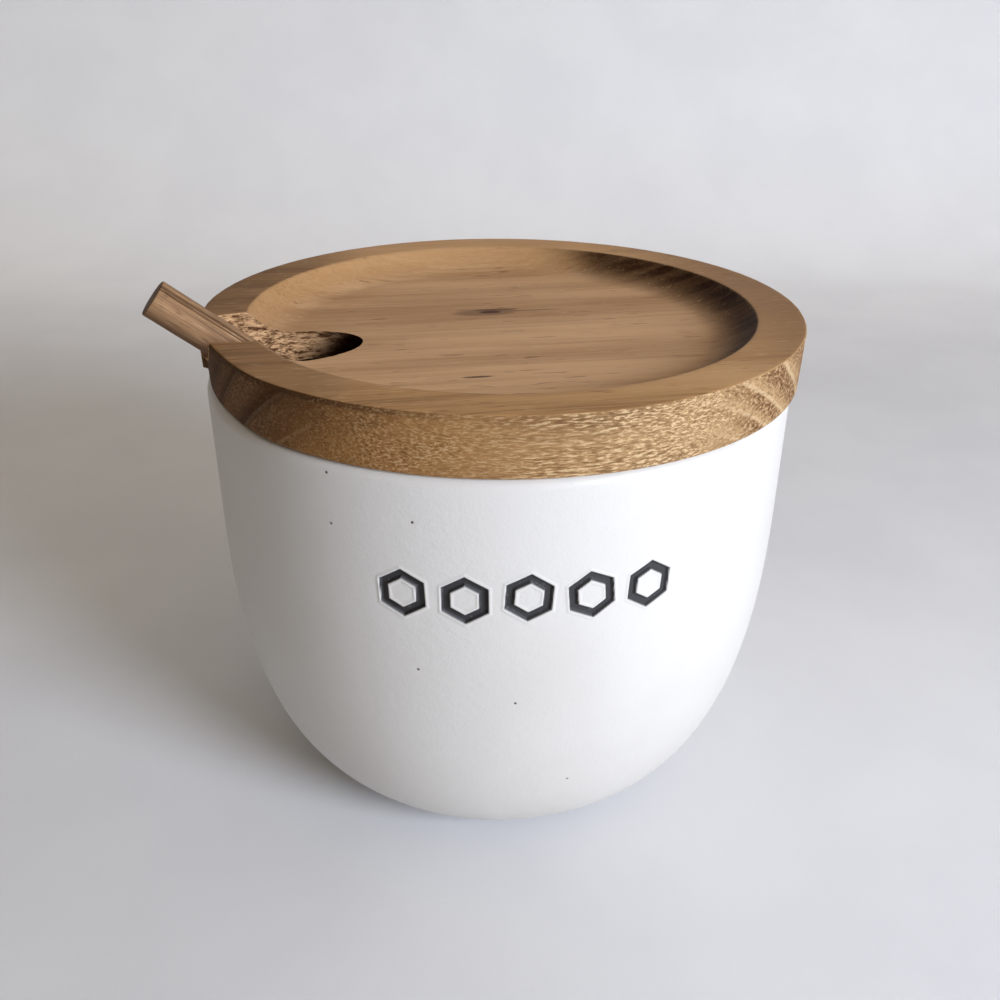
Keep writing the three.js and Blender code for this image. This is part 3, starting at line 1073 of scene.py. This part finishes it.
quarter = np.radians(np.linspace(0, 90, SWEEP_STEPS))
sweep_y = np.concatenate([[SWEEP_FRONT], SWEEP_BACK - SWEEP_BEND * (1 - np.sin(quarter)), [SWEEP_BACK]])
sweep_z = np.concatenate([[0], SWEEP_BEND * (1 - np.cos(quarter)), [SWEEP_HEIGHT]]) - SWEEP_DROP
sweep_points = [
    (side * SWEEP_HALF_WIDTH * MM, y * MM, z * MM)
    for y, z in zip(sweep_y, sweep_z)
    for side in (-1, 1)
]
sweep_faces = [(row, row + 1, row + 3, row + 2) for row in range(0, len(sweep_points) - 2, 2)]
sweep = bpy.data.objects.new("sweep", bpy.data.meshes.new("sweep"))
sweep.data.from_pydata(sweep_points, [], sweep_faces)
sweep.data.shade_smooth()
bpy.context.scene.collection.objects.link(sweep)
sweep_paint, place = new_finish("sweep_paint", sweep)
feed(
    sweep_paint,
    base_color=place.noise(0.02, 4).step(0.3, 0.7).mixed(SWEEP_WHITE, SWEEP_GREY),
    emission_color=place.dot((0, 1, 0)).step(GLOW_START, SWEEP_BACK).mixed((0, 0, 0), BACK_GLOW),
    normal=bumped(place.noise(0.9, 2), 0.2, 0.15),
)
sweep_paint.inputs["Roughness"].default_value = SWEEP_ROUGHNESS
sweep_paint.inputs["Emission Strength"].default_value = 1
sweep_paint.inputs["Specular IOR Level"].default_value = SWEEP_SPECULAR
print("sweep faces", len(sweep_faces))

# %% [markdown]
# ## Light
# The light is cool and comes from low at the front right, as from a window, so the shadow is long and
# soft. A sun lamp would light the sheet evenly all over. An area lamp at the window's distance lets the
# light fall off to the left. Warm light falls from above and leans towards the window's side, so upright
# faces in the shade stay darker than level ones. Past the sheet the camera sees a plain sky that fades
# into the tone of the far floor.

# %% Light
WINDOW_AZIMUTH = math.radians(-44)
WINDOW_ELEVATION = math.radians(24)
WINDOW_DISTANCE = 750
WINDOW_SIZE = 290
WINDOW_POWER = 6.25
WINDOW_COLOUR = (0.76, 0.84, 1.0)
SKY_TOP = (0.64, 0.53, 0.4)
SKY_LOW = (0.24, 0.205, 0.163)
SKY_HIGH = (0.6, 0.59, 0.58)
SKY_LEAN = Vector((0.45, -0.35, 0.82)).normalized()
SKY_FADE = (-0.08, 0.4)

window = bpy.data.objects.new("window_light", bpy.data.lights.new("window_light", "AREA"))
window.data.shape = "DISK"
window.data.size = WINDOW_SIZE * MM
window.data.energy = WINDOW_POWER
window.data.color = WINDOW_COLOUR
window.visible_camera = False
towards_window = -falling(WINDOW_AZIMUTH + math.pi, WINDOW_ELEVATION)
window.location = towards_window * WINDOW_DISTANCE * MM
window.rotation_mode = "QUATERNION"
window.rotation_quaternion = towards_window.to_track_quat("Z", "Y")
bpy.context.scene.collection.objects.link(window)

sky = bpy.data.worlds.new("sky")
sky.use_nodes = True
direction = Wire(sky.node_tree, sky.node_tree.nodes.new("ShaderNodeTexCoord").outputs["Generated"])
overhead = direction.dot(SKY_LEAN).at_least(0).squared()
seen_sky = direction.dot((0, 0, 1)).step(*SKY_FADE).mixed(SKY_LOW, SKY_HIGH)
seen = direction.node("ShaderNodeLightPath", {}, {}, "Is Camera Ray")
sky_colour = seen.mixed(overhead.mixed((0, 0, 0), SKY_TOP), seen_sky)
sky.node_tree.links.new(sky_colour.socket, sky.node_tree.nodes["Background"].inputs["Color"])
bpy.context.scene.world = sky
bpy.context.scene.view_settings.view_transform = "Standard"
print("light comes from", [round(value, 2) for value in towards_window])
